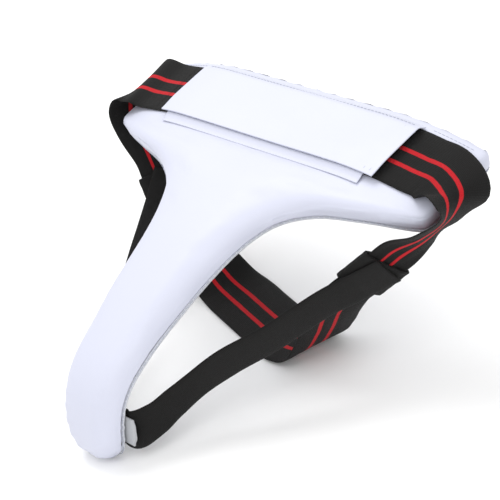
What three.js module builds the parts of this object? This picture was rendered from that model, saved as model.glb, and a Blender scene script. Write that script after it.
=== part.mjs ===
// Padded groin protector with a waistband and two leg straps, standing as it is worn by a
// wearer who leans back: the panel on top, the waistband ring below it. Millimetres, +Z up.
// +X is the panel's right end seen from the front, -Y runs from the waist to the crotch.
// The origin is under the middle of the object, on the surface that it stands on.
import * as THREE from "three";

// ---- driving dimensions -------------------------------------------------------------
const PANEL_HALF_WIDTH = 160; // half the width of the waist end
const PANEL_LENGTH = 325; // along the curve, from the waist edge to the crotch end
const PANEL_THICKNESS = 17;
const WAIST_EDGE_Y = 127.1; // front of the waist edge, mid-width
const WAIST_EDGE_Z = 150.5; // above the surface that it stands on
const CORNER_RADIUS = 5; // waist corners, seen flat
const EDGE_RADIUS = 6; // rounding of the front edge of the cover
const EAR_FLAT = 75; // the waist is straight this far each side, then its ends bend back
const EAR_BEND_RADIUS = 240;

// Side profile of the panel's front face: tangent arcs, each [length, slope at its end].
const WAIST_SLOPE = 11; // degrees below level, at the waist edge
const PROFILE_ARCS = [
  [64, 11],
  [66, 21.7],
  [65, 25.7],
  [49, 32.7],
  [42, 70],
  [39, 100],
];

// Half outline below the waist corners, flat: [distance from the waist edge, half width].
const OUTLINE = [
  [60, 160],
  [67, 158],
  [72, 150],
  [84, 116],
  [97, 76],
  [112, 56],
  [132, 45],
  [160, 38],
  [192, 34],
  [226, 30],
  [268, 27],
  [300, 25],
  [313, 22],
  [321, 16],
  [325, 9],
];

// Layers of the panel, as depths behind the front face.
const COVER_SKIN = 1.2;
const COVER_RIM = 13; // the side wall of the cover ends here, at the seam
const CORE_FRONT = 1.6;
const CORE_BACK = 10.4;
const FOAM_FRONT = 10.8;
const FOAM_BACK = 15.3;
const LINING_RIM = 13.4;
const LINING_INNER = 15.7;
const INNER_INSET = 1.6; // the foams stand this far inside the outline

// Parts that lie on the front of the waist, as heights above the front face.
const BAND_LIFT = 1.2; // middle of the waistband's thickness
const BAND_THICKNESS = 1.5;
const BAND_WIDTH = 50;
const BAND_MIDDLE = 34; // its middle line, from the waist edge
const STRIP_BOTTOM = 2.3;
const STRIP_TOP = 3.1;
const STRIP_SEWN_BOTTOM = 0.4; // its lower edge comes down to the cover
const STRIP_SEWN_TOP = 1.2;
const LOOP_TAPE_BOTTOM = 3.4;
const LOOP_TAPE_TOP = 4.0;
const HOOK_TAPE_BOTTOM = 4.3;
const HOOK_TAPE_TOP = 4.9;
const FLAP_LINING_BOTTOM = 5.2;
const FLAP_LINING_TOP = 5.7;
const FLAP_BOTTOM = 6.0;
const FLAP_TOP = 6.8;
const FLAP_HALF_WIDTH = 106;
const FLAP_START = 5; // folded edge, from the waist edge
const FLAP_END = 58;
const STRIP_HALF_WIDTH = 98;

// Leg straps, the loops that hold them on the waistband, and the crotch tab.
const LEG_WIDTH = 28;
const LEG_THICKNESS = 1.6;
const GATHERED_WIDTH = 32; // the waistband is gathered inside each loop
const LOOP_LENGTH = 28; // along the waistband
const LOOP_HOLE = [34.5, 3.6]; // across the waistband, and through its thickness
const LOOP_WALL = 1.7;
const STITCH_BLOCK = [20, 6, 0.6];
const TAB_HALF_WIDTH = 34;
const TAB_DEPTH = [17.4, 19.2]; // behind the front face of the panel
const TAB_SPAN = [284, 310]; // along the panel

// ---- the panel's curved surface ------------------------------------------------------
const rad = THREE.MathUtils.degToRad;

// Point and slope of the side profile at a distance along it from the waist edge.
function profileAt(distance) {
  let y = WAIST_EDGE_Y;
  let z = WAIST_EDGE_Z;
  let slope = rad(WAIST_SLOPE);
  let left = distance;
  for (const [length, endSlope] of PROFILE_ARCS) {
    const rate = (rad(endSlope) - slope) / length;
    const used = Math.min(left, length);
    const next = slope + rate * used;
    const middle = (slope + next) / 2;
    const turn = (next - slope) / 2;
    const chord = turn === 0 ? used : (used * Math.sin(turn)) / turn;
    y -= chord * Math.cos(middle);
    z -= chord * Math.sin(middle);
    slope = next;
    left -= used;
    if (left <= 0) break;
  }
  return { y, z, slope };
}

// A point of the panel: across it, along it, and how deep behind the front face.
function panelPoint(across, along, depth) {
  const { y, z, slope } = profileAt(along);
  const side = Math.sign(across);
  const bend = Math.max(Math.abs(across) - EAR_FLAT, 0) / EAR_BEND_RADIUS;
  const reach = bend > 0 ? EAR_FLAT + EAR_BEND_RADIUS * Math.sin(bend) : Math.abs(across);
  const drop = EAR_BEND_RADIUS * (1 - Math.cos(bend)) + depth * Math.cos(bend);
  return new THREE.Vector3(
    side * (reach - depth * Math.sin(bend)),
    y + Math.sin(slope) * drop,
    z - Math.cos(slope) * drop,
  );
}

const outlineCurve = new THREE.SplineCurve(OUTLINE.map(([s, w]) => new THREE.Vector2(s, w)));
const outlinePoints = outlineCurve.getPoints(OUTLINE.length * 16);

// Half width of the flat outline at a distance from the waist edge.
function halfWidth(along) {
  if (along < CORNER_RADIUS) {
    const short = CORNER_RADIUS - along;
    return PANEL_HALF_WIDTH - CORNER_RADIUS + Math.sqrt(CORNER_RADIUS ** 2 - short ** 2);
  }
  if (along <= OUTLINE[0][0]) return PANEL_HALF_WIDTH;
  const next = outlinePoints.findIndex((p) => p.x >= along);
  if (next < 1) return OUTLINE.at(-1)[1];
  const a = outlinePoints[next - 1];
  const b = outlinePoints[next];
  return THREE.MathUtils.mapLinear(along, a.x, b.x, a.y, b.y);
}

// How much wider a square inset gets when it is measured across, where the edge slants.
function edgeStretch(along) {
  const step = 2;
  const from = Math.max(along - step, CORNER_RADIUS);
  const to = Math.min(along + step, PANEL_LENGTH);
  return Math.hypot(1, (halfWidth(to) - halfWidth(from)) / (to - from));
}

const ROWS = [
  0, 1.5, EDGE_RADIUS, 20, 36, 52, 60, 66, 71, 76, 83, 90, 98, 106, 115, 128, 145, 165, 190, 215,
  240, 256, 268, 279, 290, 301, 311, PANEL_LENGTH - EDGE_RADIUS, PANEL_LENGTH - 1.5,
  PANEL_LENGTH,
];

// Rounded edge: depth of the face at a distance in from the outline.
function roundedDepth(fromEdge, radius) {
  if (fromEdge >= radius) return 0;
  return radius - Math.sqrt(radius ** 2 - (radius - fromEdge) ** 2);
}

// A layer of the panel as rows of points, side to side. Its columns crowd at the edges,
// and where it is rounded they follow the rounding of the edge.
function layer(inset, depth, radius, rounded) {
  const edge = radius > 0 ? [0, radius * 0.25, radius] : [0];
  return ROWS.map((row) => {
    const along = THREE.MathUtils.clamp(row, inset, PANEL_LENGTH - inset);
    const stretch = edgeStretch(along);
    const half = halfWidth(along) - inset * stretch;
    const ends = edge.map((e) => Math.min(e * stretch, half * 0.45));
    const inner = half - ends.at(-1);
    const columns = [
      ...ends.map((e) => e - half),
      ...[-0.75, -0.5, 0, 0.5, 0.75].map((share) => share * inner),
      ...ends.map((e) => half - e).reverse(),
    ];
    const fromEnd = Math.min(along - inset, PANEL_LENGTH - inset - along);
    return columns.map((across) => {
      const fromSide = (half - Math.abs(across)) / stretch;
      const rounding = rounded ? roundedDepth(Math.min(fromSide, fromEnd), radius) : 0;
      return panelPoint(across, along, depth + rounding);
    });
  });
}

// ---- mesh helpers --------------------------------------------------------------------
function meshOf(name, material, points, faces) {
  const geometry = new THREE.BufferGeometry();
  const flat = points.flatMap((p) => [p.x, p.y, p.z]);
  geometry.setAttribute("position", new THREE.Float32BufferAttribute(flat, 3));
  geometry.setIndex(faces.flat());
  geometry.computeVertexNormals();
  const mesh = new THREE.Mesh(geometry, material);
  mesh.name = name;
  return mesh;
}

// Indices round the border of a grid of rows and columns.
function borderOf(rows, columns) {
  const loop = [];
  for (let j = 0; j < columns; j++) loop.push(j);
  for (let i = 1; i < rows; i++) loop.push(i * columns + columns - 1);
  for (let j = columns - 2; j >= 0; j--) loop.push((rows - 1) * columns + j);
  for (let i = rows - 2; i > 0; i--) loop.push(i * columns);
  return loop;
}

// A closed solid from two grids of the same size, with rims between their borders.
function gridSolid(name, material, first, rims, last) {
  const rows = first.length;
  const columns = first[0].length;
  const border = borderOf(rows, columns);
  const points = [...first.flat()];
  const loops = [border];
  for (const rim of rims) {
    const flat = rim.flat();
    loops.push(border.map((k, i) => points.length + i));
    points.push(...border.map((k) => flat[k]));
  }
  const offset = points.length;
  points.push(...last.flat());
  loops.push(border.map((k) => k + offset));
  const faces = [];
  for (let i = 0; i + 1 < rows; i++)
    for (let j = 0; j + 1 < columns; j++) {
      const a = i * columns + j;
      const b = a + 1;
      const c = a + columns;
      const d = c + 1;
      faces.push([a, c, b], [b, c, d]);
      faces.push([a + offset, b + offset, c + offset], [b + offset, d + offset, c + offset]);
    }
  for (let k = 0; k + 1 < loops.length; k++)
    border.forEach((_, i) => {
      const next = (i + 1) % border.length;
      const [a, b] = [loops[k][i], loops[k][next]];
      const [c, d] = [loops[k + 1][i], loops[k + 1][next]];
      faces.push([a, b, c], [b, d, c]);
    });
  return meshOf(name, material, points, faces);
}

// A flat piece that lies on the panel: across, along and height limits, as a grid solid.
function sheetOnPanel(name, material, across, along, heightsBelow, heightsAbove) {
  const grid = (heights) =>
    along.map((s, i) => across.map((x) => panelPoint(x, s, -heights[i])));
  return gridSolid(name, material, grid(heightsAbove), [], grid(heightsBelow));
}

function spread(from, to, count) {
  return Array.from({ length: count + 1 }, (_, i) => THREE.MathUtils.lerp(from, to, i / count));
}

// A strap: stations of { centre, side } with side reaching from the middle to one edge.
function ribbon(name, material, stations, thickness, closed) {
  const count = stations.length;
  const points = [];
  stations.forEach(({ centre, side }, i) => {
    const before = stations[closed ? (i + count - 1) % count : Math.max(i - 1, 0)].centre;
    const after = stations[closed ? (i + 1) % count : Math.min(i + 1, count - 1)].centre;
    const up = new THREE.Vector3().subVectors(after, before).cross(side);
    up.setLength(thickness / 2);
    for (const [s, u] of [[-1, -1], [1, -1], [1, 1], [-1, 1]])
      points.push(centre.clone().addScaledVector(side, s).addScaledVector(up, u));
  });
  const faces = [];
  const last = closed ? count : count - 1;
  for (let i = 0; i < last; i++)
    for (let k = 0; k < 4; k++) {
      const a = i * 4 + k;
      const b = i * 4 + ((k + 1) % 4);
      const c = ((i + 1) % count) * 4 + k;
      const d = ((i + 1) % count) * 4 + ((k + 1) % 4);
      // The same diagonal above and below, so that a twisted stretch keeps its thickness.
      if (k === 2) faces.push([a, b, d], [a, d, c]);
      else faces.push([a, b, c], [b, d, c]);
    }
  if (!closed) {
    const end = (count - 1) * 4;
    faces.push([0, 2, 1], [0, 3, 2], [end, end + 1, end + 2], [end, end + 2, end + 3]);
  }
  return meshOf(name, material, points, faces);
}

// Stations along a smooth route of [x, y, z, edge direction x, y, z, width].
function stationsOf(route, steps, closed) {
  const centres = route.map((r) => new THREE.Vector3(r[0], r[1], r[2]));
  const sides = route.map((r) =>
    new THREE.Vector3(r[3], r[4], r[5]).setLength((r[6] ?? LEG_WIDTH) / 2),
  );
  const path = new THREE.CatmullRomCurve3(centres, closed);
  const edges = new THREE.CatmullRomCurve3(sides, closed);
  const count = (closed ? route.length : route.length - 1) * steps;
  const stations = [];
  for (let i = 0; i < (closed ? count : count + 1); i++) {
    const centre = path.getPoint(i / count);
    const ahead = path.getTangent(i / count);
    const side = edges.getPoint(i / count);
    const half = side.length();
    side.addScaledVector(ahead, -side.dot(ahead)).setLength(half);
    // No edge goes below the ground.
    centre.z = Math.max(centre.z, BAND_THICKNESS / 2 + Math.abs(side.z));
    stations.push({ centre, side });
  }
  return stations;
}

// ---- materials -----------------------------------------------------------------------
const material = (color, roughness) =>
  new THREE.MeshStandardMaterial({ color, roughness, metalness: 0 });
const whiteLeather = material(0xe9ebf6, 0.42);
const liningLeather = material(0xe4e6ee, 0.55);
const blackWebbing = material(0x1f1d1c, 0.85);
const denseFoam = material(0x3a3b3e, 0.9);
const softFoam = material(0xe2d9b8, 0.95);
const whiteTape = material(0xdcdde0, 0.9);
const greyTab = material(0xbfc1c4, 0.8);
const blackThread = material(0x26262a, 0.7);

// ---- the padded panel ----------------------------------------------------------------
const group = new THREE.Group();

// The front cover: a thin skin with a rounded edge and a side wall, open behind.
const innerRadius = EDGE_RADIUS - COVER_SKIN;
group.add(
  gridSolid(
    "front_cover",
    whiteLeather,
    layer(0, 0, EDGE_RADIUS, true),
    [layer(0, COVER_RIM, EDGE_RADIUS, false), layer(COVER_SKIN, COVER_RIM, innerRadius, false)],
    layer(COVER_SKIN, COVER_SKIN, innerRadius, true),
  ),
);

const coreRadius = EDGE_RADIUS - INNER_INSET;
group.add(
  gridSolid(
    "impact_foam_core",
    denseFoam,
    layer(INNER_INSET, CORE_FRONT, coreRadius, true),
    [],
    layer(INNER_INSET, CORE_BACK, coreRadius, false),
  ),
);
group.add(
  gridSolid(
    "comfort_foam",
    softFoam,
    layer(INNER_INSET, FOAM_FRONT, coreRadius, false),
    [],
    layer(INNER_INSET, FOAM_BACK, coreRadius, false),
  ),
);

// The back lining: a shallow tray that meets the cover at the seam, open to the front.
group.add(
  gridSolid(
    "back_lining",
    liningLeather,
    layer(COVER_SKIN, LINING_INNER, innerRadius, false),
    [
      layer(COVER_SKIN, LINING_RIM, innerRadius, false),
      layer(0, LINING_RIM, EDGE_RADIUS, false),
    ],
    layer(0, PANEL_THICKNESS, EDGE_RADIUS, false),
  ),
);

// ---- the waistband tunnel on the front of the waist ----------------------------------
const FLAP_COLUMNS = [EAR_FLAT, 82, 88, 94];

function acrossFlap(half) {
  const right = [...FLAP_COLUMNS.filter((x) => x < half), half];
  return [...right.map((x) => -x).reverse(), 0, ...right];
}

// A strip sewn below the band, folded up over its lower edge, that carries the loop tape.
group.add(
  sheetOnPanel(
    "tunnel_strip",
    whiteLeather,
    acrossFlap(STRIP_HALF_WIDTH),
    [40, 50, 59.5, 61.5, 66],
    [STRIP_BOTTOM, STRIP_BOTTOM, STRIP_BOTTOM, STRIP_SEWN_BOTTOM, STRIP_SEWN_BOTTOM],
    [STRIP_TOP, STRIP_TOP, STRIP_TOP, STRIP_TOP - 0.4, STRIP_SEWN_TOP],
  ),
);
for (const [name, bottom, top] of [
  ["loop_tape", LOOP_TAPE_BOTTOM, LOOP_TAPE_TOP],
  ["hook_tape", HOOK_TAPE_BOTTOM, HOOK_TAPE_TOP],
])
  group.add(
    sheetOnPanel(
      name,
      whiteTape,
      acrossFlap(STRIP_HALF_WIDTH - 4),
      [42, 50, 57],
      [bottom, bottom, bottom],
      [top, top, top],
    ),
  );
group.add(
  sheetOnPanel(
    "flap_lining",
    liningLeather,
    acrossFlap(FLAP_HALF_WIDTH - 2),
    [11, 24, 40, FLAP_END - 1],
    spread(FLAP_LINING_BOTTOM, FLAP_LINING_BOTTOM, 3),
    spread(FLAP_LINING_TOP, FLAP_LINING_TOP, 3),
  ),
);
group.add(
  sheetOnPanel(
    "waist_flap",
    whiteLeather,
    acrossFlap(FLAP_HALF_WIDTH),
    [FLAP_START, 8, 11, 24, 40, FLAP_END],
    [0.5, 3.2, FLAP_BOTTOM, FLAP_BOTTOM, FLAP_BOTTOM, FLAP_BOTTOM],
    [1.7, 4.8, FLAP_TOP, FLAP_TOP, FLAP_TOP, FLAP_TOP],
  ),
);

// ---- the waistband -------------------------------------------------------------------
// A straight stretch of the band, where a leg strap's loop slides: its centre, the band's
// direction and edge direction, the way that the leg strap leaves, and the face it leaves.
const LOOPS = {
  right: {
    centre: [122, -86, 85],
    along: [-0.7, -0.42, -0.58],
    edge: [0.23, 0.66, -0.72],
    leg: [-0.7, -0.6, -0.4],
    face: 1,
  },
  left: {
    centre: [-128, -59, 68.5],
    along: [-0.59, 0.26, 0.77],
    edge: [0.5, 0.86, 0.1],
    leg: [0.17, -0.72, -0.67],
    face: -1,
  },
};
const STRAIGHT = [-25, -18, 18, 25]; // of the band's route, through the loop's centre

function straightThrough({ centre, along, edge }) {
  const middle = new THREE.Vector3(...centre);
  const direction = new THREE.Vector3(...along).normalize();
  return STRAIGHT.map((t) => [
    ...middle.clone().addScaledVector(direction, t).toArray(),
    ...edge,
    GATHERED_WIDTH,
  ]);
}

// A point of the band's route on the front of the waist.
function onWaist(across, lift = BAND_LIFT) {
  const centre = panelPoint(across, BAND_MIDDLE, -lift);
  const edge = panelPoint(across, BAND_MIDDLE - 5, -lift).sub(centre);
  return [centre.x, centre.y - WAIST_EDGE_Y, centre.z, ...edge.toArray(), BAND_WIDTH];
}

// Round the ring: across the waist, round the right ear, down through the right loop,
// along the ground, up through the left loop and round the left ear. Y is from the waist edge.
const WAISTBAND_ROUTE = [
  ...[-125, -100, -50, 0, 50, 100, 125].map((across) => onWaist(across)),
  onWaist(148, 2.4),
  [160.5, -38, 125, -0.05, 0.97, 0.15, BAND_WIDTH],
  [161.5, -46, 110, -0.2, 0.9, 0, 44],
  [155, -60, 101, -0.15, 0.85, -0.35, 37],
  ...straightThrough(LOOPS.right),
  [84, -105, 47, 0.2, 0.85, -0.5, 38],
  [62, -105, 21, 0.2, 0.95, -0.2, 44],
  [42, -97.2, 3, 0.25, 1, 0, BAND_WIDTH],
  [30, -94, 0, 0.25, 1, 0, BAND_WIDTH],
  [0, -86, 0, 0.25, 1, 0, BAND_WIDTH],
  [-30, -78, 0, 0.25, 1, 0, BAND_WIDTH],
  [-60, -70, 0, 0.25, 1, 0, BAND_WIDTH],
  [-78, -67, 4, 0.3, 0.97, 0, 46],
  [-97, -66, 24, 0.4, 0.92, 0, 38],
  ...straightThrough(LOOPS.left),
  [-156, -44, 112, 0.15, 1, 0.05, 48],
  [-163, -38, 126, 0.05, 1, 0.15, BAND_WIDTH],
  [-157, -35, 138, 0, 1, 0.25, BAND_WIDTH],
  onWaist(-142, 5),
];

function fromWaistEdge(route) {
  return route.map(([x, y, z, ...rest]) => [x, y + WAIST_EDGE_Y, z, ...rest]);
}

group.add(
  ribbon(
    "waistband",
    blackWebbing,
    stationsOf(fromWaistEdge(WAISTBAND_ROUTE), 2, true),
    BAND_THICKNESS,
    true,
  ),
);

// ---- crotch tab, leg straps and their loops --------------------------------------------
const tabSide = (depth) =>
  TAB_SPAN.map((s) =>
    spread(-TAB_HALF_WIDTH, TAB_HALF_WIDTH, 2).map((x) => panelPoint(x, s, depth)),
  );
group.add(gridSolid("crotch_tab", greyTab, tabSide(TAB_DEPTH[0]), [], tabSide(TAB_DEPTH[1])));

const TAB_MIDDLE = (TAB_SPAN[0] + TAB_SPAN[1]) / 2;
const STRAP_DEPTH = TAB_DEPTH[1] + 2 + LEG_THICKNESS / 2; // sewn on behind the tab
const LEG_START = [-10, 14]; // stations of a leg strap over its loop, along the strap

// Leg straps from their loops to the tab: x, y from the waist edge, z, edge direction.
const LEG_ROUTES = {
  right: [
    [103, -114, 73, 0, -0.5, 0.86],
    [92, -131, 66, 0.05, -0.45, 0.88],
    [80, -148, 58, 0.1, -0.4, 0.9],
    [63, -173, 50, 0.12, -0.3, 0.93],
    [50, -191, 42, 0.12, -0.25, 0.95],
    [41, -208, 35, 0.05, -0.1, 0.97],
    [38, -225, 27, 0, 0.1, 0.98],
  ],
  left: [
    [-112, -92, 52, -0.6, -0.5, 0.6],
    [-98, -115, 46.5, -0.4, -0.4, 0.8],
    [-84, -138, 41.5, -0.2, -0.32, 0.9],
    [-70, -162, 36.5, -0.05, -0.28, 0.94],
    [-57, -187, 31.5, -0.08, -0.25, 0.95],
    [-46, -208, 27.5, -0.05, -0.1, 0.97],
    [-38, -225, 24.5, 0, 0.1, 0.98],
  ],
};

// The axes of a loop: along the band, across it, and through it.
function loopAxes({ along, edge }) {
  const direction = new THREE.Vector3(...along).normalize();
  const across = new THREE.Vector3(...edge);
  across.addScaledVector(direction, -across.dot(direction)).normalize();
  return { direction, across, through: direction.clone().cross(across) };
}

function placed(mesh, name, x, y, z, position) {
  mesh.name = name;
  mesh.quaternion.setFromRotationMatrix(new THREE.Matrix4().makeBasis(x, y, z));
  mesh.position.copy(position);
  return mesh;
}

// A flat oval, for the outside and the hole of a loop.
function oval(path, width, height) {
  const r = height / 2;
  const flat = width / 2 - r;
  path.absarc(flat, 0, r, -Math.PI / 2, Math.PI / 2, false);
  path.absarc(-flat, 0, r, Math.PI / 2, (3 * Math.PI) / 2, false);
  return path;
}

function strapLoop(name, centre, axes) {
  const [width, height] = LOOP_HOLE;
  const shape = oval(new THREE.Shape(), width + 2 * LOOP_WALL, height + 2 * LOOP_WALL);
  shape.holes.push(oval(new THREE.Path(), width, height));
  const options = { depth: LOOP_LENGTH, bevelEnabled: false, curveSegments: 4 };
  const geometry = new THREE.ExtrudeGeometry(shape, options).translate(0, 0, -LOOP_LENGTH / 2);
  const mesh = new THREE.Mesh(geometry, blackWebbing);
  return placed(mesh, name, axes.across, axes.through, axes.direction, centre);
}

// Stitching that holds a piece down: a thin block of thread.
function stitchBlock(name, x, y, z, centre) {
  const block = new THREE.Mesh(new THREE.BoxGeometry(...STITCH_BLOCK), blackThread);
  return placed(block, name, x, y, z, centre);
}

for (const [side, sign] of [["right", 1], ["left", -1]]) {
  const place = LOOPS[side];
  const axes = loopAxes(place);
  const centre = new THREE.Vector3(...place.centre);
  centre.y += WAIST_EDGE_Y;
  group.add(strapLoop(`strap_loop_${side}`, centre, axes));

  const face = LOOP_HOLE[1] / 2 + LOOP_WALL + 0.3;
  const outwards = axes.through.clone().multiplyScalar(place.face);
  const onLoop = centre.clone().addScaledVector(outwards, -face - STITCH_BLOCK[2] / 2);
  onLoop.addScaledVector(axes.across, -LOOP_HOLE[0] / 4);
  group.add(
    stitchBlock(`loop_stitch_${side}`, axes.direction, axes.across, axes.through, onLoop),
  );

  // The leg strap starts on one face of its loop, and the loop's stitching is on the other.
  const leg = new THREE.Vector3(...place.leg);
  leg.addScaledVector(axes.through, -leg.dot(axes.through)).normalize();
  const upEdge = leg.clone().cross(axes.through);
  if (upEdge.z < 0) upEdge.negate();
  const start = LEG_START.map((out) => {
    const point = centre.clone().addScaledVector(outwards, face + 0.6 + LEG_THICKNESS / 2);
    point.addScaledVector(leg, out);
    return [...point.toArray(), ...upEdge.toArray()];
  });
  const end = [27, 10].map((x) => {
    const point = panelPoint(sign * x, TAB_MIDDLE, STRAP_DEPTH);
    const rise = panelPoint(sign * x, TAB_SPAN[0], STRAP_DEPTH);
    rise.sub(panelPoint(sign * x, TAB_SPAN[1], STRAP_DEPTH));
    return [...point.toArray(), ...rise.toArray()];
  });
  const route = [...start, ...fromWaistEdge(LEG_ROUTES[side]), ...end];
  group.add(
    ribbon(`leg_strap_${side}`, blackWebbing, stationsOf(route, 3, false), LEG_THICKNESS, false),
  );

  const behind = STRAP_DEPTH + LEG_THICKNESS / 2 + 0.3 + STITCH_BLOCK[2] / 2;
  const onTab = panelPoint(sign * 18, TAB_MIDDLE, behind);
  const across = new THREE.Vector3(1, 0, 0);
  const rise = panelPoint(0, TAB_MIDDLE - 5, behind).sub(panelPoint(0, TAB_MIDDLE, behind));
  rise.normalize();
  group.add(
    stitchBlock(`tab_stitch_${side}`, rise, across, rise.clone().cross(across), onTab),
  );
}

export default group;
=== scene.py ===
import math
import bpy
import numpy as np
from mathutils import Matrix, Vector
from mathutils.kdtree import KDTree


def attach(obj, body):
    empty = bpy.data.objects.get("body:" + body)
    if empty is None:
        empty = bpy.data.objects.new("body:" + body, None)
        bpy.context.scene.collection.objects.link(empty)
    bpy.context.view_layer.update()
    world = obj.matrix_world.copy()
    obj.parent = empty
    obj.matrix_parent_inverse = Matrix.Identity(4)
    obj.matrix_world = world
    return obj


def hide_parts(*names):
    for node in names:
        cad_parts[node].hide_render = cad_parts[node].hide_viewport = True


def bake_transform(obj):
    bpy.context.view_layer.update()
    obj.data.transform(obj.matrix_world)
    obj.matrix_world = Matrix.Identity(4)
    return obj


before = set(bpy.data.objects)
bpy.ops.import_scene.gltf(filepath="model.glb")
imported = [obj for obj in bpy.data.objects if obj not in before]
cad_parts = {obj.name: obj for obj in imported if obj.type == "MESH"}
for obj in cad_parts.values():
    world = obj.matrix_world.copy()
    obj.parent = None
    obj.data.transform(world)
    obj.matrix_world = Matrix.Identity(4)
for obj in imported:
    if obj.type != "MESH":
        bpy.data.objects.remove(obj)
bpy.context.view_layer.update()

MM = 0.001
# ---- the panel's shape, in millimetres, as in the CAD ----------------------------------
# A place on the panel is given by how far it lies across from the middle, how far along
# from the waist edge, and how deep behind the front face.
HALF_WIDTH = 160.0
LENGTH = 325.0  # along the front face, from the waist edge to the crotch end
WAIST_Y = 127.1
WAIST_Z = 150.5
CORNER = 5.0  # radius of the corners of the waist edge
EAR_FLAT = 75.0  # the waist is flat this far from the middle, and then curves back
EAR_RADIUS = 240.0
SLOPE = 11.0  # of the front face at the waist edge, in degrees
ARCS = [(64, 11), (66, 21.7), (65, 25.7), (49, 32.7), (42, 70), (39, 100)]  # length, end slope
# along, half width
OUTLINE = [(60, 160), (67, 158), (72, 150), (84, 116), (97, 76), (112, 56), (132, 45), (160, 38),
           (192, 34), (226, 30), (268, 27), (300, 25), (313, 22), (321, 16), (325, 9)]
SEAM = 13.0  # depth of the seam between the cover and the lining
BACK = 17.0


def smooth(x, a, b):
    """A soft step from 0 at a to 1 at b."""
    t = np.clip((np.asarray(x, float) - a) / (b - a), 0, 1)
    return t * t * (3 - 2 * t)


def profile_table():
    """Rows of along, y, z and slope down the middle of the front face."""
    s, y, z, slope = 0.0, WAIST_Y, WAIST_Z, math.radians(SLOPE)
    rows = [(s, y, z, slope)]
    for length, end in ARCS:
        steps = int(length * 4)
        rate = (math.radians(end) - slope) / steps
        step = length / steps
        for _ in range(steps):
            middle = slope + rate / 2
            y -= step * math.cos(middle)
            z -= step * math.sin(middle)
            slope += rate
            s += step
            rows.append((s, y, z, slope))
    return np.array(rows).T


TABLE = profile_table()


def panel_point(across, along, depth):
    """Points of the panel from across, along and depth behind its front face, in mm."""
    places = (np.asarray(v, float) for v in (across, along, depth))
    across, along, depth = np.broadcast_arrays(*places)
    y, z, slope = (np.interp(along, TABLE[0], TABLE[k]) for k in (1, 2, 3))
    bend = np.maximum(np.abs(across) - EAR_FLAT, 0) / EAR_RADIUS
    reach = np.where(bend > 0, EAR_FLAT + EAR_RADIUS * np.sin(bend), np.abs(across))
    drop = EAR_RADIUS * (1 - np.cos(bend)) + depth * np.cos(bend)
    return np.stack([np.sign(across) * (reach - depth * np.sin(bend)),
                     y + np.sin(slope) * drop, z - np.cos(slope) * drop], -1)


def catmull(points, steps, closed=False):
    """A smooth line through rows of numbers, of which the first three are a place."""
    p = np.array(points, float)
    if not closed:
        p = np.concatenate([[2 * p[0] - p[1]], p, [2 * p[-1] - p[-2]]])
    n = len(p)
    out = []
    for i in range(n) if closed else range(1, n - 2):
        a, b, c, d = (p[(i + k) % n] for k in (-1, 0, 1, 2))
        # centripetal knots keep the line from overshooting
        t1 = max(np.linalg.norm((b - a)[:3]), 1e-6) ** 0.5
        t2 = t1 + max(np.linalg.norm((c - b)[:3]), 1e-6) ** 0.5
        t3 = t2 + max(np.linalg.norm((d - c)[:3]), 1e-6) ** 0.5
        for k in range(steps):
            t = t1 + (t2 - t1) * k / steps
            a1 = (t1 - t) / t1 * a + t / t1 * b
            a2 = (t2 - t) / (t2 - t1) * b + (t - t1) / (t2 - t1) * c
            a3 = (t3 - t) / (t3 - t2) * c + (t - t2) / (t3 - t2) * d
            b1 = (t2 - t) / t2 * a1 + t / t2 * a2
            b2 = (t3 - t) / (t3 - t1) * a2 + (t - t1) / (t3 - t1) * a3
            out.append((t2 - t) / (t2 - t1) * b1 + (t - t1) / (t2 - t1) * b2)
    if not closed:
        out.append(p[-2])
    return np.array(out)


OUTLINE_LINE = catmull(OUTLINE, 12)


def half_width(along):
    along = np.asarray(along, float)
    short = np.clip(CORNER - along, 0, CORNER)
    corner = HALF_WIDTH - CORNER + np.sqrt(CORNER ** 2 - short ** 2)
    side = np.interp(along, OUTLINE_LINE[:, 0], OUTLINE_LINE[:, 1])
    return np.where(along <= OUTLINE[0][0], corner, side)


def stretch(along):
    """How much wider an even margin of the outline is when it is measured straight across."""
    a = np.clip(along - 2, CORNER, LENGTH)
    b = np.clip(along + 2, CORNER + 4, LENGTH)
    return np.hypot(1, (half_width(b) - half_width(a)) / (b - a))


def outline_points():
    """Points close together all the way round the outline."""
    s = np.concatenate([np.linspace(0, CORNER, 12), np.linspace(CORNER, LENGTH, 420)[1:]])
    w = half_width(s)
    side = np.stack([w, s], 1)
    top = np.stack([np.linspace(-w[0], w[0], 160), np.zeros(160)], 1)
    end = np.stack([np.linspace(-w[-1], w[-1], 14), np.full(14, LENGTH)], 1)
    return np.concatenate([side, side * [-1, 1], top, end])


EDGE_POINTS = outline_points()


def edge_distance(across, along):
    """How far places lie from the outline, worked out in batches to save memory."""
    flat = np.stack([across.ravel(), along.ravel()], 1)
    out = np.empty(len(flat))
    batch = 2000
    for i in range(0, len(flat), batch):
        d = flat[i:i + batch, None, :] - EDGE_POINTS[None]
        out[i:i + batch] = np.sqrt((d ** 2).sum(2).min(1))
    return out.reshape(across.shape)


def grid_rows(fine):
    """Where a grid's rows lie along the panel: close together at both ends."""
    ends = [0, 0.4, 1, 2, 3.5, 5.5, 8] if fine else [0, 2, 6]
    middle = np.arange(ends[-1] + 3, LENGTH - ends[-1] - 1.5, 3.0 if fine else 7.0)
    return np.array(ends + list(middle) + [LENGTH - e for e in reversed(ends)])


def grid_columns(fine):
    """Distances of a grid's outer columns from the edge, and shares of its inner ones."""
    ends = [0, 0.4, 1, 2, 3.5, 5.5, 8, 11, 14.5] if fine else [0, 2, 6]
    inner = np.linspace(-1, 1, 33 if fine else 15)[1:-1]
    return ends, inner


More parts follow.
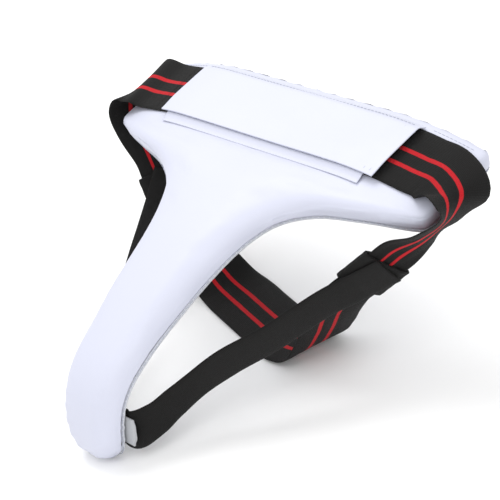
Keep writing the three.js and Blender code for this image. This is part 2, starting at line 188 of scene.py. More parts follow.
def flat_grid(inset, fine=True):
    """Across and along of a grid that fills the outline less an inset."""
    rows = np.clip(grid_rows(fine), inset, LENGTH - inset)
    ends, inner = grid_columns(fine)
    across = []
    for s in rows:
        k = float(stretch(s))
        half = float(half_width(s)) - inset * k
        scale = min(k, half * 0.55 / ends[-1])
        e = [v * scale for v in ends]
        core = half - e[-1]
        across.append([v - half for v in e] + [c * core for c in inner] + [half - v for v in reversed(e)])
    across = np.array(across)
    return across, np.repeat(rows[:, None], across.shape[1], 1)


def border(rows, columns):
    """Indices round the edge of a grid."""
    loop = list(range(columns))
    loop += [i * columns + columns - 1 for i in range(1, rows)]
    loop += [(rows - 1) * columns + j for j in range(columns - 2, -1, -1)]
    loop += [i * columns for i in range(rows - 2, 0, -1)]
    return loop


def grid_solid(first, rims, last):
    """Vertices and faces of a closed body from two grids and the rims between their borders."""
    rows, columns = first.shape[:2]
    edge = border(rows, columns)
    points = [first.reshape(-1, 3)]
    loops = [edge]
    count = rows * columns
    for rim in rims:
        loops.append([count + i for i in range(len(edge))])
        points.append(rim.reshape(-1, 3)[edge])
        count += len(edge)
    points.append(last.reshape(-1, 3))
    loops.append([count + k for k in edge])
    faces = []
    for i in range(rows - 1):
        for j in range(columns - 1):
            a = i * columns + j
            faces.append((a, a + columns, a + columns + 1, a + 1))
            faces.append((a + count, a + 1 + count, a + columns + 1 + count, a + columns + count))
    for one, two in zip(loops, loops[1:]):
        for i in range(len(edge)):
            n = (i + 1) % len(edge)
            faces.append((one[i], one[n], two[n], two[i]))
    return np.concatenate(points), faces


def make(name, points, faces, material, attributes=None):
    """A smooth-shaded object from points in millimetres."""
    mesh = bpy.data.meshes.new(name)
    mesh.from_pydata((np.asarray(points) * MM).tolist(), [], faces)
    mesh.validate()
    mesh.update()
    for key, values in (attributes or {}).items():
        mesh.attributes.new(key, "FLOAT", "POINT").data.foreach_set("value", np.asarray(values, np.float32))
    mesh.shade_smooth()
    obj = bpy.data.objects.new(name, mesh)
    bpy.context.scene.collection.objects.link(obj)
    mesh.materials.append(material)
    return obj


# ---- materials --------------------------------------------------------------------------
class Nodes:
    """A material with the few node helpers that the recipes below share."""

    def __init__(self, name):
        self.material = bpy.data.materials.new(name)
        self.material.use_nodes = True
        self.tree = self.material.node_tree
        self.shader = self.tree.nodes["Principled BSDF"]

    def add(self, kind, **inputs):
        node = self.tree.nodes.new(kind)
        for key, value in inputs.items():
            node.inputs[key].default_value = value
        return node

    def link(self, a, b):
        self.tree.links.new(a, b)

    def math(self, operation, a, b=None, c=None):
        node = self.tree.nodes.new("ShaderNodeMath")
        node.operation = operation
        for i, v in enumerate((a, b, c)):
            if v is None:
                continue
            if isinstance(v, (int, float)):
                node.inputs[i].default_value = v
            else:
                self.link(v, node.inputs[i])
        return node.outputs[0]

    def coordinates(self):
        return self.tree.nodes.new("ShaderNodeTexCoord").outputs["Object"]

    def noise(self, scale, detail=3.0, roughness=0.5):
        node = self.add("ShaderNodeTexNoise", Scale=scale, Detail=detail, Roughness=roughness)
        self.link(self.coordinates(), node.inputs["Vector"])
        return node.outputs[0]

    def cells(self, scale):
        node = self.add("ShaderNodeTexVoronoi", Scale=scale)
        self.link(self.coordinates(), node.inputs["Vector"])
        return node.outputs["Distance"]

    def mix(self, factor, a, b):
        node = self.tree.nodes.new("ShaderNodeMix")
        node.data_type = "RGBA"
        for socket, v in ((node.inputs[0], factor), (node.inputs[6], a), (node.inputs[7], b)):
            if isinstance(v, (tuple, float, int)):
                socket.default_value = v
            else:
                self.link(v, socket)
        return node.outputs[2]

    def bump(self, height, distance):
        node = self.add("ShaderNodeBump", Strength=1.0, Distance=distance)
        self.link(height, node.inputs["Height"])
        self.link(node.outputs[0], self.shader.inputs["Normal"])

    def attribute(self, name):
        node = self.tree.nodes.new("ShaderNodeAttribute")
        node.attribute_name = name
        return node.outputs["Fac"]


def leather(name, light, dark, roughness):
    """Coated leather: fine grain cells over a slow unevenness."""
    m = Nodes(name)
    m.link(m.mix(m.noise(14, 4), (*dark, 1), (*light, 1)), m.shader.inputs["Base Color"])
    m.link(m.math("MULTIPLY_ADD", m.noise(60, 3), 0.16, roughness - 0.08), m.shader.inputs["Roughness"])
    m.shader.inputs["Specular IOR Level"].default_value = 0.4
    fine = m.math("MULTIPLY", m.cells(1100), 0.7)
    m.bump(m.math("ADD", fine, m.math("MULTIPLY", m.noise(120, 4), 1.5)), 0.00005)
    return m.material


RIB_PITCH = 1.1
WEFT_PITCH = 0.9
STRIPES = (-7.5, 5.0)  # middles of the red lines, across the webbing
STRIPE_HALF_WIDTH = 1.35
BLACKS = (0.0025, 0.0022, 0.0022, 1), (0.0065, 0.006, 0.0058, 1)
REDS = (0.40, 0.006, 0.011, 1), (0.60, 0.011, 0.02, 1)


def striped(m, colour, across, weave):
    """Lays the red lines over a colour, with slightly wavy edges."""
    wobble = m.math("MULTIPLY_ADD", m.noise(300, 1), 0.5, -0.25)
    place = m.math("ADD", across, wobble)
    for middle in STRIPES:
        off = m.math("ABSOLUTE", m.math("SUBTRACT", place, middle))
        past = m.math("MULTIPLY", m.math("SUBTRACT", off, STRIPE_HALF_WIDTH), 2.2)
        outside = m.math("SMOOTH_MIN", m.math("MAXIMUM", past, 0.0), 1.0, 0.1)
        inside = m.math("SUBTRACT", 1.0, outside)
        red = m.mix(m.math("MULTIPLY_ADD", weave, 0.3, 0.5), *REDS)
        colour = m.mix(inside, colour, red)
    return colour


def webbing(name, stripes):
    """Elastic webbing: fine ribs along it, a close weave across it, and red lines if asked."""
    m = Nodes(name)
    across = m.attribute("across")
    along = m.attribute("along")
    ribs = m.math("SINE", m.math("MULTIPLY", across, 2 * math.pi / RIB_PITCH))
    weft = m.math("SINE", m.math("MULTIPLY", along, 2 * math.pi / WEFT_PITCH))
    weave = m.math("MULTIPLY", ribs, weft)
    height = m.math("ADD", m.math("MULTIPLY", weave, 0.6), m.math("MULTIPLY", ribs, 0.35))
    speck = m.noise(900, 2)
    colour = m.mix(m.math("MULTIPLY_ADD", weave, 0.25, speck), *BLACKS)
    if stripes:
        colour = striped(m, colour, across, weave)
    m.link(colour, m.shader.inputs["Base Color"])
    m.link(m.math("MULTIPLY_ADD", speck, 0.2, 0.68), m.shader.inputs["Roughness"])
    m.shader.inputs["Specular IOR Level"].default_value = 0.25
    m.shader.inputs["Sheen Weight"].default_value = 0.02
    m.bump(height, 0.00022)
    return m.material


def grainy(name, light, dark, roughness, scale, depth):
    """Foam, tape, cloth or thread: two tones and a rough surface."""
    m = Nodes(name)
    m.link(m.mix(m.noise(scale, 4), (*dark, 1), (*light, 1)), m.shader.inputs["Base Color"])
    m.shader.inputs["Roughness"].default_value = roughness
    m.bump(m.math("ADD", m.cells(scale * 1.5), m.noise(scale * 0.6, 2)), depth)
    return m.material


WHITE = leather("white_leather", (0.575, 0.590, 0.690), (0.550, 0.566, 0.668), 0.46)
LINING = leather("lining_leather", (0.62, 0.635, 0.68), (0.585, 0.60, 0.65), 0.58)
BAND = webbing("striped_webbing", True)
PLAIN = webbing("plain_webbing", False)
CORE = grainy("dense_foam", (0.05, 0.052, 0.056), (0.03, 0.031, 0.034), 0.9, 700, 0.0003)
SOFT = grainy("soft_foam", (0.78, 0.72, 0.50), (0.66, 0.60, 0.40), 0.95, 900, 0.0005)
TAPE = grainy("white_tape", (0.74, 0.75, 0.77), (0.60, 0.61, 0.64), 0.9, 1400, 0.0005)
# The tab's grey is painted shade: the tab lies in shade behind the crotch end and is coloured grey for it.
SHADED_TAB = grainy("grey_tab", (0.50, 0.51, 0.53), (0.38, 0.39, 0.41), 0.82, 1300, 0.0002)
THREAD = grainy("black_thread", (0.03, 0.03, 0.032), (0.012, 0.012, 0.013), 0.6, 1500, 0.0001)
PALE_THREAD = grainy("pale_thread", (0.42, 0.44, 0.52), (0.33, 0.35, 0.43), 0.6, 1500, 0.0001)


# ---- the padded panel -------------------------------------------------------------------
# The foam starts below the waist: above it the edges are thin, and below it full and round.
def edge_height(along):
    """How deep the front face rounds down at the outline."""
    return 4.5 + 6.5 * smooth(along, 62, 105)


def edge_reach(along):
    """How far in from the outline the rounding starts."""
    return 4.0 + 9.0 * smooth(along, 62, 110)


def front_depth(across, along):
    """How deep the cover's front lies: soft edges, a low crown and faint creases."""
    d = edge_distance(across, along)
    high, reach = edge_height(along), edge_reach(along)
    t = np.clip(1 - d / reach, 0, 1)
    depth = high * (1 - np.sqrt(np.maximum(1 - t ** 2, 0)))
    room = smooth(along, 68, 104)
    crown = 2.2 * room * (1 - np.exp(-np.maximum(d - 2, 0) / 16))
    near = np.exp(-((d - 9) / 7) ** 2) * smooth(along, 250, 300)
    gathers = 0.5 * near * np.sin(along * 0.62 + across * 0.21)
    slow = 0.28 * room * np.sin(along * 0.055 + across * 0.035 + 1.1)
    return depth - crown + gathers + slow * np.exp(-((d - 14) / 12) ** 2)


def pucker(across, along):
    """Small waves of the sewn edge, stronger towards the crotch end."""
    run = along + np.abs(across) * 0.8 + 3 * np.sign(across)
    size = (0.22 + 0.9 * smooth(along, 262, 305)) * smooth(along, 64, 110)
    return size * (0.6 * np.sin(run * 0.66) + 0.4 * np.sin(run * 1.13 + 1.7))


def wall(inset, share):
    """A rim of the cover's side wall, share 0 at its front edge and 1 at the seam."""
    across, along = flat_grid(inset)
    high = edge_height(along)
    wave = pucker(across, along) * share
    return panel_point(across, along, high + (SEAM - high) * share + 0.5 * wave)


def cover_body():
    """The cover: its front, the side wall down to the seam, and its inner face."""
    across, along = flat_grid(0)
    front = panel_point(across, along, front_depth(across, along))
    steps = [(-0.35, 0.35), (-0.55, 0.6), (-0.3, 0.82), (0.5, 0.96), (1.6, 1.03), (2.6, 0.95)]
    rims = [wall(inset, share) for inset, share in steps]
    across, along = flat_grid(2.6)
    return grid_solid(front, rims, panel_point(across, along, front_depth(across, along) + 1.3))


def lining_body():
    """The lining: its edge is rolled up to the seam behind the cover's."""
    def rim(inset, depth):
        across, along = flat_grid(inset)
        return panel_point(across, along, depth + 0.5 * pucker(across, along))
    across, along = flat_grid(3.0)
    inner = panel_point(across, along, np.full(across.shape, 15.6))
    steps = [(2.2, 13.9), (1.4, 13.3), (0.4, 13.6), (-0.1, 14.4), (0.2, 15.5)]
    rims = [rim(inset, depth) for inset, depth in steps]
    across, along = flat_grid(1.2)
    d = edge_distance(across, along)
    back = BACK - 1.1 * np.exp(-np.maximum(d - 1.2, 0) / 2.2)
    return grid_solid(inner, rims, panel_point(across, along, back))


def foam_body(front, back):
    """A foam board between two depths, with its upper edges rounded off."""
    across, along = flat_grid(3.2, False)
    d = edge_distance(across, along)
    round_off = edge_height(along) * np.clip(1 - d / edge_reach(along), 0, 1) ** 2
    top = np.minimum(front + np.maximum(round_off, 0), back - 1.0)
    under = panel_point(across, along, np.full(across.shape, back))
    return grid_solid(panel_point(across, along, top), [], under)


def closed_pad():
    """The whole pad as one coarse closed body, for the cloth."""
    across, along = flat_grid(0, False)
    top = panel_point(across, along, front_depth(across, along))
    middle = panel_point(across, along, np.full(across.shape, SEAM))
    across, along = flat_grid(2, False)
    return grid_solid(top, [middle], panel_point(across, along, np.full(across.shape, BACK)))


VOXEL = 5 * MM
PRESSURE = 4
CLOTH_FRAMES = 20
PINNED_BEYOND = 62  # y of the thin waist, which doesn't swell
LARGEST_MOVE = 1.8 * MM
NEIGHBOURS = 8


def puff(targets):
    """Inflates a coarse copy of the pad as cloth and carries its creases to the fine covers."""
    pad = make("puff_pad", *closed_pad(), WHITE)
    bpy.context.view_layer.objects.active = pad
    remesh = pad.modifiers.new("remesh", "REMESH")
    remesh.mode = "VOXEL"
    remesh.voxel_size = VOXEL
    bpy.ops.object.select_all(action="DESELECT")
    pad.select_set(True)
    bpy.ops.object.modifier_apply(modifier="remesh")
    before = np.array([v.co for v in pad.data.vertices])
    group = pad.vertex_groups.new(name="pin")
    for i in np.nonzero(before[:, 1] / MM > PINNED_BEYOND)[0]:
        group.add([int(i)], 1.0, "REPLACE")
    cloth = pad.modifiers.new("cloth", "CLOTH")
    s = cloth.settings
    s.quality = 5
    s.mass = 0.3
    s.tension_stiffness = s.compression_stiffness = 18
    s.shear_stiffness = 8
    s.bending_stiffness = 0.6
    s.use_pressure = True
    s.uniform_pressure_force = PRESSURE
    s.vertex_group_mass = "pin"
    s.effector_weights.gravity = 0
    cloth.collision_settings.use_collision = False
    cloth.point_cache.frame_start = 1
    cloth.point_cache.frame_end = CLOTH_FRAMES
    scene = bpy.context.scene
    for f in range(1, CLOTH_FRAMES + 1):
        scene.frame_set(f)
    after = pad.evaluated_get(bpy.context.evaluated_depsgraph_get()).data
    moved = np.array([v.co for v in after.vertices]) - before
    scene.frame_set(1)
    bpy.data.objects.remove(pad)
    size = np.linalg.norm(moved, axis=1, keepdims=True)
    moved *= np.where(size > LARGEST_MOVE, LARGEST_MOVE / np.maximum(size, 1e-9), 1)
    tree = KDTree(len(before))
    for i, p in enumerate(before):
        tree.insert(p, i)
    tree.balance()
    print("puff", len(before), "points, moved up to", float(size.max()) / MM, "mm")
    for obj, share in targets:
        co = np.array([v.co for v in obj.data.vertices])
        out = co.copy()
        for k, p in enumerate(co):
            found = tree.find_n(p, NEIGHBOURS)
            w = np.array([1 / (f[2] + 2 * MM) ** 2 for f in found])
            out[k] += share * (moved[[f[1] for f in found]] * w[:, None]).sum(0) / w.sum()
        obj.data.vertices.foreach_set("co", out.ravel())
        obj.data.update()


cover = make("panel_cover", *cover_body(), WHITE)
lining = make("panel_lining", *lining_body(), LINING)
puff([(cover, 1.0), (lining, 0.35)])
core = make("panel_core_foam", *foam_body(3.0, 10.2), CORE)
soft = make("panel_soft_foam", *foam_body(10.9, 15.0), SOFT)


# ---- sheets sewn on the front of the waist ----------------------------------------------
def sheet_on_panel(across, along, low, high, wave=0.0):
    """A thin sheet with soft edges that follows the panel, low to high above its front."""
    a, s = np.meshgrid(across, along)
    low = np.broadcast_to(np.asarray(low, float)[:, None], a.shape)
    high = np.broadcast_to(np.asarray(high, float)[:, None], a.shape)
    lift = wave * np.sin(a * 0.045 + s * 0.08) * np.sin(a * 0.013 + 0.7)
    middle = (low + high) / 2 + lift
    thick = (high - low) / 2
    first = panel_point(a, s, -(middle + thick))
    grow = 0.45
    wide_a = a + grow * np.sign(a) * (np.abs(a) > np.abs(a).max() - 0.01)
    rim = panel_point(wide_a, s, -middle)
    return grid_solid(first, [rim], panel_point(a, s, -(middle - thick)))


def spaced(a, b, step):
    """Even places from a to b, with one more close to each end for the rolled edge."""
    inner = np.linspace(a, b, max(int(abs(b - a) / step), 2) + 1)
    return np.unique(np.concatenate([inner, [a + 0.35, b - 0.35]]))


FLAP_LEFT, FLAP_RIGHT = -103.0, 111.0
FLAP_TOP, FLAP_BOTTOM = 7.0, 61.0
STRIP_LEFT, STRIP_RIGHT = -98.0, 102.0
TAPE_HALF_LENGTH = 94
COLUMN_STEP = 4


def dip(along):
    """The flap's lower edge comes down to the strip."""
    return smooth(along, 46, FLAP_BOTTOM)


def flap_leather():
    along = spaced(FLAP_TOP, FLAP_BOTTOM, 2.0)
    rise = smooth(along, FLAP_TOP - 2, FLAP_TOP + 7)
    low = 0.5 + 5.3 * rise - 0.9 * dip(along)
    columns = spaced(FLAP_LEFT, FLAP_RIGHT, COLUMN_STEP)
    return make("flap_leather", *sheet_on_panel(columns, along, low, low + 1.0, 0.25), WHITE)


def flap_backing():
    along = spaced(FLAP_TOP + 6, FLAP_BOTTOM - 1.0, 2.5)
    low = 4.85 - 0.8 * dip(along)
    columns = spaced(FLAP_LEFT + 1.5, FLAP_RIGHT - 1.5, COLUMN_STEP)
    return make("flap_backing", *sheet_on_panel(columns, along, low, low + 0.5, 0.25), LINING)


def tape(name, low, follow):
    """A half of the closure, 0.6 mm thick, that follows the flap's dip by some share."""
    along = spaced(41, 57.5, 2.0)
    low = low - follow * dip(along)
    columns = spaced(-TAPE_HALF_LENGTH, TAPE_HALF_LENGTH, COLUMN_STEP)
    return make(name, *sheet_on_panel(columns, along, low, low + 0.6), TAPE)


def sewn_strip():
    """The strip under the flap: it folds down to the panel at its lower edge."""
    along = spaced(40, 67.5, 1.2)
    low = 2.3 - 1.9 * smooth(along, 59.5, 66.5)
    crease = 0.35 * np.exp(-((along - 61) / 2.2) ** 2)
    columns = spaced(STRIP_LEFT, STRIP_RIGHT, COLUMN_STEP)
    return make("sewn_strip", *sheet_on_panel(columns, along, low, low + 0.85 + crease, 0.05), WHITE)


flap = flap_leather()
flap_back = flap_backing()
hook = tape("flap_hook_tape", 4.1, 0.7)
loop_tape = tape("strip_loop_tape", 3.3, 0)
strip = sewn_strip()


CAPSULE = ((-0.5, 0.15), (-0.2, 0.8), (0.25, 1), (0.75, 1), (1.2, 0.8), (1.5, 0.15))


def capsules(lines, radius, sides=6):
    """Short lengths of thread as one mesh, each through the rings of CAPSULE."""
    points, faces = [], []
    last = len(CAPSULE) - 1
    for a, b, up in lines:
        a, b, up = (np.asarray(v, float) for v in (a, b, up))
        d = (b - a) / np.linalg.norm(b - a)
        side = np.cross(d, up)
        side /= np.linalg.norm(side)
        up = np.cross(side, d)
        start = len(points)
        for t, r in CAPSULE:
            mid = a + (b - a) * np.clip(t, 0, 1) + d * radius * (t - np.clip(t, 0, 1)) * 2
            for k in range(sides):
                q = 2 * math.pi * k / sides
                points.append(mid + radius * r * (math.cos(q) * side + math.sin(q) * up))
        for i in range(last):
            for k in range(sides):
                n = (k + 1) % sides
                p = start + i * sides
                faces.append((p + k, p + n, p + sides + n, p + sides + k))
        faces.append(tuple(start + k for k in reversed(range(sides))))
        faces.append(tuple(start + last * sides + k for k in range(sides)))
    return np.array(points), faces


def stitch_row(path, pitch=3.4, length=2.2):
    """Stitches along a line of (across, along, depth)."""
    path = np.array(path, float)
    pts = panel_point(path[:, 0], path[:, 1], path[:, 2])
    ups = panel_point(path[:, 0], path[:, 1], path[:, 2] - 1) - pts
    run = np.concatenate([[0], np.cumsum(np.linalg.norm(np.diff(pts, axis=0), axis=1))])
    out = []
    at = pitch / 2
    while at + length < run[-1]:
        a = [np.interp(at, run, pts[:, k]) for k in range(3)]
        b = [np.interp(at + length, run, pts[:, k]) for k in range(3)]
        u = [np.interp(at, run, ups[:, k]) for k in range(3)]
        out.append((a, b, u))
        at += pitch
    return out


def line(a, b, n=40):
    return np.linspace(np.array(a, float), np.array(b, float), n)


def stitched(name, rows):
    """Rows of stitches, each along its own line, as one piece."""
    stitches = [stitch for row in rows for stitch in stitch_row(row)]
    return make(name, *capsules(stitches, 0.22), PALE_THREAD)


flap_thread = stitched("flap_thread", [
    line((FLAP_LEFT + 2.5, 11, -5.6), (FLAP_RIGHT - 2.5, 11, -5.6), 90),
    *[line((x, 13, -6.55), (x, 58, -6.0)) for x in (FLAP_RIGHT - 4, FLAP_RIGHT - 9)],
])
margin_thread = stitched("waist_thread", [
    line((FLAP_RIGHT + 4, 5.5, 0.0), (152, 5.5, 0.0)),
    line((FLAP_LEFT - 4, 5.5, 0.0), (-152, 5.5, 0.0)),
    line((STRIP_LEFT + 2, 65.2, -1.2), (STRIP_RIGHT - 2, 65.2, -1.2), 90),
])


def seam_thread():
    """Stitches in the seam down both sides of the panel."""
    s = np.concatenate([np.linspace(0, 60, 20), np.linspace(60, 110, 60), np.linspace(110, LENGTH, 90)[1:]])
    out = []
    for side in (-1, 1):
        path = np.stack([side * (half_width(s) + 0.1), s, np.full(len(s), SEAM + 0.35)], 1)
        path[:, 2] += 0.5 * pucker(path[:, 0], path[:, 1])
        out += stitch_row(path, 4.2, 3.2)
    return capsules(out, 0.28)


rim_thread = make("seam_thread", *seam_thread(), PALE_THREAD)


# ---- webbing -----------------------------------------------------------------------------
BAND_WIDTH = 50
LEG_WIDTH = 28
GATHERED = 32  # width of the waistband inside a loop


def loop_axes(along, edge):
    """Unit axes of a loop: along the waistband, across it, and through its thickness."""
    d = np.array(along, float) / np.linalg.norm(along)
    a = np.array(edge, float)
    a -= d * a.dot(d)
    a /= np.linalg.norm(a)
    return d, a, np.cross(d, a)


# Each loop's centre, the waistband's direction in it, the direction across the waistband,
# and the way in which the leg strap leaves.
LOOPS = {
    "right": ((122, -86 + WAIST_Y, 85), (-0.7, -0.42, -0.58), (0.23, 0.66, -0.72), (-0.7, -0.6, -0.4)),
    "left": ((-128, -59 + WAIST_Y, 68.5), (-0.59, 0.26, 0.77), (0.5, 0.86, 0.1), (0.17, -0.72, -0.67)),
}


# A station of a strap is its middle, the direction of one edge from it, and its width.
def on_waist(across, lift=1.2):
    """A station of the waistband where it lies on the panel."""
    p = panel_point(across, 34, -lift)
    e = panel_point(across, 29, -lift) - p
    return (*p, *(e / np.linalg.norm(e)), BAND_WIDTH)


def through_loop(side):
    """Stations of the waistband's straight stretch through a loop."""
    centre, along, edge, _ = LOOPS[side]
    d, a, _ = loop_axes(along, edge)
    return [(*(np.array(centre) + d * t), *a, GATHERED) for t in (-25, -14, 0, 14, 25)]


def free(*rows):
    """Stations off the panel, with y measured from the waist edge."""
    return [(x, y + WAIST_Y, z, *(np.array(e) / np.linalg.norm(e)), w) for x, y, z, *e, w in rows]


BAND_ROUTE = [
    *[on_waist(a) for a in (-118, -100, -80, -40, 0, 40, 80, 110, 130)],
    on_waist(146, 1.8),
    *free((160.5, -38, 127, -0.05, 0.97, 0.15, 50), (161, -47, 116, -0.15, 0.92, 0, 46),
          (153.5, -63, 107.5, -0.1, 0.85, -0.35, 40)),
    *through_loop("right"),
    *free((86, -98, 50, 0.2, 0.85, -0.5, 38), (66, -94, 26, 0.2, 0.95, -0.2, 44),
          (47, -93, 7, 0.25, 1, 0, 49), (24, -92.4, 0.9, 0.25, 1, 0, 50),
          (-2, -85.4, 0.8, 0.25, 1, 0, 50), (-32, -77.4, 0.8, 0.25, 1, 0, 50),
          (-58, -70.5, 0.9, 0.25, 1, 0, 50), (-78, -67, 5, 0.3, 0.97, 0, 46),
          (-97, -66, 25, 0.4, 0.92, 0, 38)),
    *through_loop("left"),
    *free((-155, -46, 108, 0.2, 0.98, 0.05, 46), (-163, -41, 122, 0.1, 1, 0.1, 50),
          (-161, -37, 134, 0.05, 1, 0.2, 50), (-151, -35, 141.5, 0, 1, 0.22, 50)),
    on_waist(-136, 3.2),
]


def ribbon(stations, thickness, closed, cup=0.0, columns=14, ripple=0.0):
    """A strap through stations of centre, edge direction and width, with rolled edges."""
    centre, edge, width = stations[:, :3], stations[:, 3:6].copy(), stations[:, 6]
    if closed:
        ahead = np.roll(centre, -1, 0) - np.roll(centre, 1, 0)
    else:
        ahead = np.gradient(centre, axis=0)
    ahead /= np.linalg.norm(ahead, axis=1, keepdims=True)
    edge -= ahead * (edge * ahead).sum(1, keepdims=True)
    edge /= np.linalg.norm(edge, axis=1, keepdims=True)
    up = np.cross(ahead, edge)
    run = np.concatenate([[0], np.cumsum(np.linalg.norm(np.diff(centre, axis=0), axis=1))])
    u = np.sin(np.linspace(-1, 1, columns) * math.pi / 2) * 0.5 + np.linspace(-1, 1, columns) * 0.5
    ring = [(a, 1) for a in u] + [(a, -1) for a in u[::-1]]
    points, across, along_at = [], [], []
    tight = np.clip((BAND_WIDTH - width) / (BAND_WIDTH - GATHERED), 0, 1)
    for i in range(len(centre)):
        for a, t in ring:
            thick = thickness / 2 * (1 - 0.75 * abs(a) ** 10) * t
            bow = cup * (a * a - 0.4) + ripple * tight[i] * math.sin(a * 9.5 + run[i] * 0.05)
            points.append(centre[i] + edge[i] * a * width[i] / 2 + up[i] * (thick + bow))
            across.append(a * BAND_WIDTH / 2)
            along_at.append(run[i])
    n = len(ring)
    faces = []
    count = len(centre)
    for i in range(count if closed else count - 1):
        for k in range(n):
            m = (k + 1) % n
            j = (i + 1) % count
            faces.append((i * n + k, i * n + m, j * n + m, j * n + k))
    if not closed:
        half = n // 2
        for k in range(half - 1):
            faces.append((k, n - 1 - k, n - 2 - k, k + 1))
            o = (count - 1) * n
            faces.append((o + k, o + k + 1, o + n - 2 - k, o + n - 1 - k))
    return np.array(points), faces, {"across": across, "along": along_at}


def waistband():
    """The whole waistband, whose back rests on the ground."""
    stations = catmull(BAND_ROUTE, 8, True)
    stations[:, 2] = np.maximum(stations[:, 2], 0.8)
    points, faces, marks = ribbon(stations, 1.4, True, ripple=0.45)
    points[:, 2] = np.maximum(points[:, 2], 0.02)
    return make("waistband_elastic", points, faces, BAND, marks)


band = waistband()


def loop_sleeve(side):
    """A leg strap's end folded round the gathered band."""
    centre, along, edge, _ = LOOPS[side]
    d, a, t = loop_axes(along, edge)
    rows, sides = 25, 64
    points, across, run = [], [], []
    for inner in (0, 1):
        for i in range(rows):
            x = (i / (rows - 1) - 0.5) * LEG_WIDTH
            flare = 0.35 * math.cos(i * 0.9) * (0.4 + abs(x) / 14)
            for k in range(sides):
                q = 2 * math.pi * k / sides
                c, s = math.cos(q), math.sin(q)
                w = (17.2 if inner else 18.8) * np.sign(c) * abs(c) ** 0.75
                h = (1.75 if inner else 3.3) * np.sign(s) * abs(s) ** 0.6
                h += (0.25 * math.sin(q * 9) + 0.2 * flare) * abs(s) * (1 - inner)
                w += 0.3 * flare * (1 - inner) * np.sign(c)
                points.append(np.array(centre) + d * x + a * w + t * h)
                across.append(x)
                run.append(k * 1.4)
    faces = []
    n = rows * sides
    for i in range(rows - 1):
        for k in range(sides):
            m = (k + 1) % sides
            p = i * sides
            faces.append((p + k, p + m, p + sides + m, p + sides + k))
            p += n
            faces.append((p + k, p + sides + k, p + sides + m, p + m))
    for k in range(sides):
        m = (k + 1) % sides
        faces.append((k, n + k, n + m, m))
        o = (rows - 1) * sides
        faces.append((o + k, o + m, n + o + m, n + o + k))
    obj = make(f"loop_sleeve_{side}", points, faces, PLAIN, {"across": across, "along": run})
    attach(obj, f"loop_{side}")
    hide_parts(f"strap_loop_{side}")


# The free part of each leg strap: places and edge directions, from the loop to the tab.
LEG_ROUTES = {
    "right": [(103, -114, 73, 0.1, -0.42, 0.9), (92, -131, 66, 0.12, -0.4, 0.9),
              (80, -148, 58, 0.14, -0.35, 0.92), (63, -173, 50, 0.13, -0.3, 0.93),
              (50, -192, 40.5, 0.12, -0.22, 0.95), (42.5, -209, 33, 0.06, -0.08, 0.97),
              (37, -223, 27, 0, 0.1, 0.98)],
    "left": [(-112, -92, 52, -0.6, -0.5, 0.6), (-98, -115, 46.5, -0.4, -0.4, 0.8),
             (-84, -138, 41.5, -0.2, -0.32, 0.9), (-70, -162, 36.5, -0.05, -0.28, 0.94),
             (-57, -187, 31.5, -0.08, -0.25, 0.95), (-46, -208, 27.5, -0.05, -0.1, 0.97),
             (-38, -225, 24.5, 0, 0.1, 0.98)],
}
TAB_TOP, TAB_ALONG, TAB_BOTTOM = 284, 297.0, 310
STRAP_DEPTH = 22.0  # of a leg strap behind the tab


def leg_strap(side, sign):
    """A leg strap from its loop's outer face to the tab."""
    centre, along, edge, leg = LOOPS[side]
    _, _, t = loop_axes(along, edge)
    leg = np.array(leg, float)
    leg -= t * leg.dot(t)
    leg /= np.linalg.norm(leg)
    up = np.cross(leg, t)
    up *= 1 if up[2] > 0 else -1
    face = t * 4.8 * sign
    start = [(*(np.array(centre) + face + leg * out), *up, LEG_WIDTH) for out in (-12, -3, 6, 14)]
    middle = free(*[(*row, LEG_WIDTH - 3 * (i > 3)) for i, row in enumerate(LEG_ROUTES[side])])
    end = []
    for x, width in ((27, LEG_WIDTH), (12, LEG_WIDTH), (7, LEG_WIDTH - 5)):
        top, p, bottom = (panel_point(sign * x, s, STRAP_DEPTH) for s in (TAB_TOP, TAB_ALONG, TAB_BOTTOM))
        rise = top - bottom
        end.append((*p, *(rise / np.linalg.norm(rise)), width))
    stations = catmull(start + middle + end, 9)
    points, faces, marks = ribbon(stations, 1.5, False, cup=0.8, columns=12)
    obj = make(f"leg_elastic_{side}", points, faces, PLAIN, marks)
    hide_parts(f"leg_strap_{side}")
    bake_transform(obj)


def bar_tack(name, centre, x, y, z, node, body):
    """A sewn bar: a zigzag of threads over a short rail."""
    lines = []
    for i in range(17):
        p = centre + x * (i - 8) * 1.18
        lines.append((p - y * 2.7 + x * 0.3, p + y * 2.7 - x * 0.3, z))
    for off in (-1.4, 1.4):
        lines.append((centre - x * 9.6 + y * off, centre + x * 9.6 + y * off, z))
    obj = make(name, *capsules(lines, 0.26), THREAD)
    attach(obj, body)
    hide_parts(node)


def loop_thread(side, sign):
    """The bar that closes a loop, on the face away from its leg strap."""
    centre, along, edge, _ = LOOPS[side]
    d, a, t = loop_axes(along, edge)
    place = np.array(centre) - t * 3.75 * sign - a * 8.6
    bar_tack(f"loop_thread_{side}", place, d, a, t, f"loop_stitch_{side}", f"loop_{side}")


def tab_thread(side, sign):
    """The bar that holds a leg strap on the tab."""
    place = panel_point(sign * 18, TAB_ALONG, STRAP_DEPTH + 1.1)
    rise = panel_point(0, TAB_ALONG - 5, 23) - panel_point(0, TAB_ALONG, 23)
    rise /= np.linalg.norm(rise)
    x = np.array([1.0, 0, 0])
    bar_tack(f"tab_thread_{side}", place, rise, x, np.cross(rise, x), f"tab_stitch_{side}", "panel")


for side, sign in (("right", 1), ("left", -1)):
    loop_sleeve(side)
    leg_strap(side, sign)
    loop_thread(side, sign)
    tab_thread(side, sign)


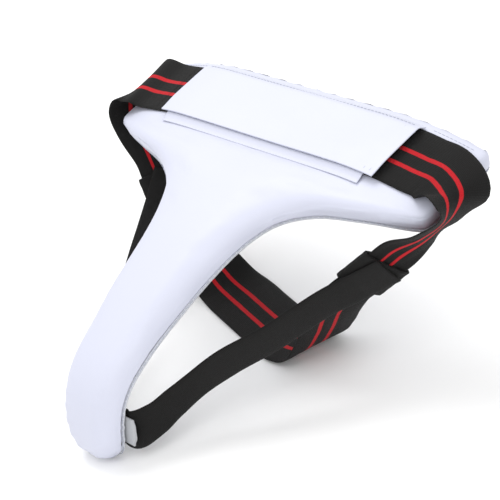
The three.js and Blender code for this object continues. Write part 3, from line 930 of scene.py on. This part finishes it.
def tab_body():
    """The tab: a thin cloth behind the crotch end, a little narrower at both ends. Its grey colour is
    painted shade.
    """
    a, s = np.meshgrid(np.linspace(-1, 1, 25), spaced(TAB_TOP, TAB_BOTTOM, 2))
    half = 33.5 - 3.5 * smooth(s, 300, TAB_BOTTOM) - 2.0 * smooth(-s, -290, -TAB_TOP)
    a = a * half
    curl = 0.5 * np.sin(a * 0.12 + s * 0.2)
    first = panel_point(a, s, 17.5 + 0.3 * curl)
    return grid_solid(first, [], panel_point(a, s, 18.8 + 0.3 * curl))


# Painted shade: the tab's grey material stands in for the shade behind the crotch end.
tab = make("tab_cloth", *tab_body(), SHADED_TAB)

for obj, body, nodes, slot in (
    (cover, "panel", ["front_cover"], "white_leather"),
    (lining, "panel", ["back_lining"], "lining_leather"),
    (core, "panel", ["impact_foam_core"], "dense_foam"),
    (soft, "panel", ["comfort_foam"], "soft_foam"),
    (strip, "panel", ["tunnel_strip"], "white_leather"),
    (loop_tape, "panel", ["loop_tape"], "white_tape"),
    (hook, "flap", ["hook_tape"], "white_tape"),
    (flap_back, "flap", ["flap_lining"], "lining_leather"),
    (flap, "flap", ["waist_flap"], "white_leather"),
    (band, "panel", ["waistband"], "black_webbing"),
    (tab, "panel", ["crotch_tab"], "grey_tab"),
    (flap_thread, "flap", [], "white_leather"),
    (margin_thread, "panel", [], "white_leather"),
    (rim_thread, "panel", [], "lining_leather"),
):
    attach(obj, body)
    if nodes:
        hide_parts(*nodes)


# ---- stage, light and camera ---------------------------------------------------------------
FLOOR_HALF_SIZE = 4
FLOOR_Z = -0.0004
MIDDLE = (0, 0, 0.05)


def floor_paper():
    """A plain pale floor with a very slow unevenness."""
    m = Nodes("floor_paper")
    pale = m.mix(m.noise(3, 2), (0.90, 0.90, 0.90, 1), (0.93, 0.93, 0.93, 1))
    m.link(pale, m.shader.inputs["Base Color"])
    m.shader.inputs["Roughness"].default_value = 0.9
    m.shader.inputs["Specular IOR Level"].default_value = 0.1
    return m.material


floor_mesh = bpy.data.meshes.new("floor")
h = FLOOR_HALF_SIZE
corners = [(x, y, FLOOR_Z) for x, y in ((-h, -h), (h, -h), (h, h), (-h, h))]
floor_mesh.from_pydata(corners, [], [(0, 1, 2, 3)])
floor = bpy.data.objects.new("floor", floor_mesh)
bpy.context.scene.collection.objects.link(floor)
floor_mesh.materials.append(floor_paper())


def lamp(name, place, size, power):
    """A round soft light that looks at the object."""
    data = bpy.data.lights.new(name, "AREA")
    data.shape = "DISK"
    data.size = size
    data.energy = power
    obj = bpy.data.objects.new(name, data)
    bpy.context.scene.collection.objects.link(obj)
    obj.location = place
    obj.rotation_euler = (Vector(MIDDLE) - Vector(place)).to_track_quat("-Z", "Y").to_euler()


lamp("key", (-0.65, 0.25, 1.5), 1.1, 12)
lamp("fill", (1.1, -1.0, 1.5), 1.8, 14)
world = bpy.data.worlds.new("studio")
bpy.context.scene.world = world
world.use_nodes = True
world.node_tree.nodes["Background"].inputs[0].default_value = (1, 1, 1, 1)
world.node_tree.nodes["Background"].inputs[1].default_value = 0.95
bpy.context.scene.view_settings.view_transform = "Standard"

camera_data = bpy.data.cameras.new("camera")
camera_data.sensor_width = 36
camera_data.lens = 147.25
camera_data.clip_end = 20
camera = bpy.data.objects.new("camera", camera_data)
bpy.context.scene.collection.objects.link(camera)
right = Vector((0.64982701, 0.72162314, -0.23871508))
down = Vector((0.24564154, -0.496595, -0.83249843))
forward = Vector((-0.71929485, 0.48234163, -0.49996147))
turn = Matrix((right, -down, -forward)).transposed().to_4x4()
camera.matrix_world = Matrix.Translation(Vector((1012.10, -642.17, 773.27)) * MM) @ turn
bpy.context.scene.camera = camera
